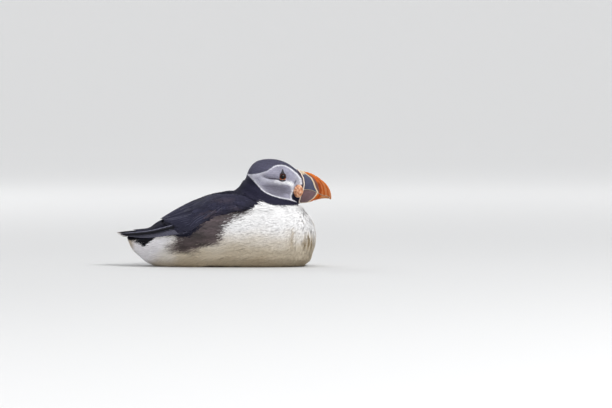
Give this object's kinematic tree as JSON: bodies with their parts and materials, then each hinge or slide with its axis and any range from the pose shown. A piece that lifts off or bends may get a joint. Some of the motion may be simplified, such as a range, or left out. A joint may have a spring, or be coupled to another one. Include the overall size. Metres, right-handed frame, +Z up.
{
  "type": "atlantic puffin",
  "caption": "Life-size still model of an adult Atlantic puffin in breeding plumage, lying on its belly with folded wings and its head drawn in.",
  "frame": {"origin": "on the floor, under the middle of the bird's length and width", "axes": "+Z up, -Y towards the bill tip, +X towards the bird's left side"},
  "size_m": [0.089, 0.231, 0.1154],
  "materials": {
    "dark_plumage": "dense slate-black feathers with a soft blue-grey sheen",
    "white_plumage": "soft white feathers, stained cream towards the belly, grey-brown on the flanks",
    "head_plumage": "short velvety feathers, slate crown and pale grey face",
    "bill_horn": "grooved horn plates, slate blue at the base and orange-red at the tip",
    "cere": "cream horny ridge round the bill's base",
    "rosette_skin": "wrinkled orange skin at the gape",
    "eye": "wet dark eye with a red ring",
    "foot_skin": "scaled orange skin and webs",
    "claw": "black horn"
  },
  "bodies": {
    "root": {"head": "head_plumage", "neck": "dark_plumage", "breast": "white_plumage", "trunk": "white_plumage", "rump": "white_plumage", "tail": "dark_plumage", "upper_bill": "bill_horn", "lower_bill": "bill_horn", "cere": "cere", "left_wing": "dark_plumage", "left_primaries": "dark_plumage", "left_rosette": "rosette_skin", "left_eye": "eye", "left_shank": "foot_skin", "left_foot": "foot_skin", "left_inner_claw": "claw", "left_middle_claw": "claw", "left_outer_claw": "claw", "right_wing": "dark_plumage", "right_primaries": "dark_plumage", "right_rosette": "rosette_skin", "right_eye": "eye", "right_shank": "foot_skin", "right_foot": "foot_skin", "right_inner_claw": "claw", "right_middle_claw": "claw", "right_outer_claw": "claw"}
  },
  "joints": []
}
